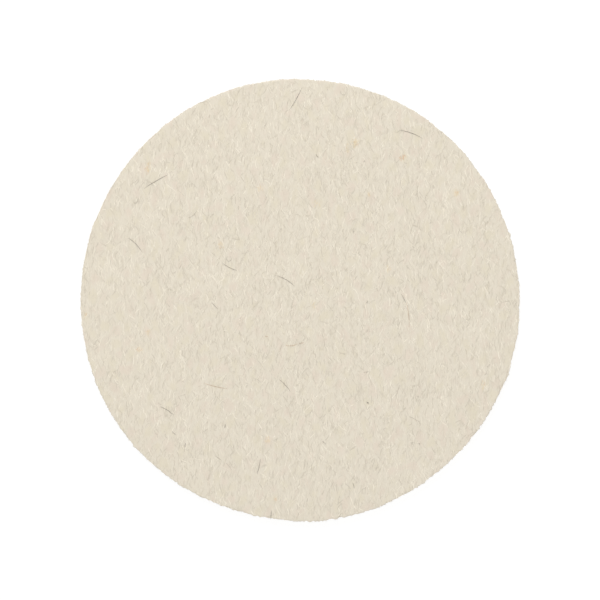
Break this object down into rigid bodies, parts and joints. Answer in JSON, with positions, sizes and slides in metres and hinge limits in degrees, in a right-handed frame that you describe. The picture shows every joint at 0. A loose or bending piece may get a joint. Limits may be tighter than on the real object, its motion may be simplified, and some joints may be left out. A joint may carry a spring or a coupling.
{
  "type": "felt polishing pad",
  "caption": "Round flat pad of pressed wool felt with an adhesive back on a peel-off liner, stuck to a flat lap or vibrating lap to polish stone with an oxide slurry.",
  "frame": {"origin": "centre of the release liner's underside, on the surface that the pad lies on", "axes": "+Z through the pad's centre, out of the felt's working face; the disc is round, so +X and +Y are any two directions across it"},
  "size_m": [0.1524, 0.1524, 0.0036],
  "materials": {
    "wool_felt": "matte",
    "acrylic_adhesive": "gloss",
    "polyester_film": "gloss",
    "silicone_kraft": "satin"
  },
  "bodies": {
    "liner": {"release_liner": "silicone_kraft"},
    "pad": {"lap_side_adhesive": "acrylic_adhesive", "carrier_film": "polyester_film", "felt_side_adhesive": "acrylic_adhesive", "felt_disc": "wool_felt"}
  },
  "joints": [
    {"name": "liner_peel", "type": "slide", "parent": "liner", "child": "pad", "axis": [0, 0, 1], "range_m": [0, 0.04]}
  ]
}
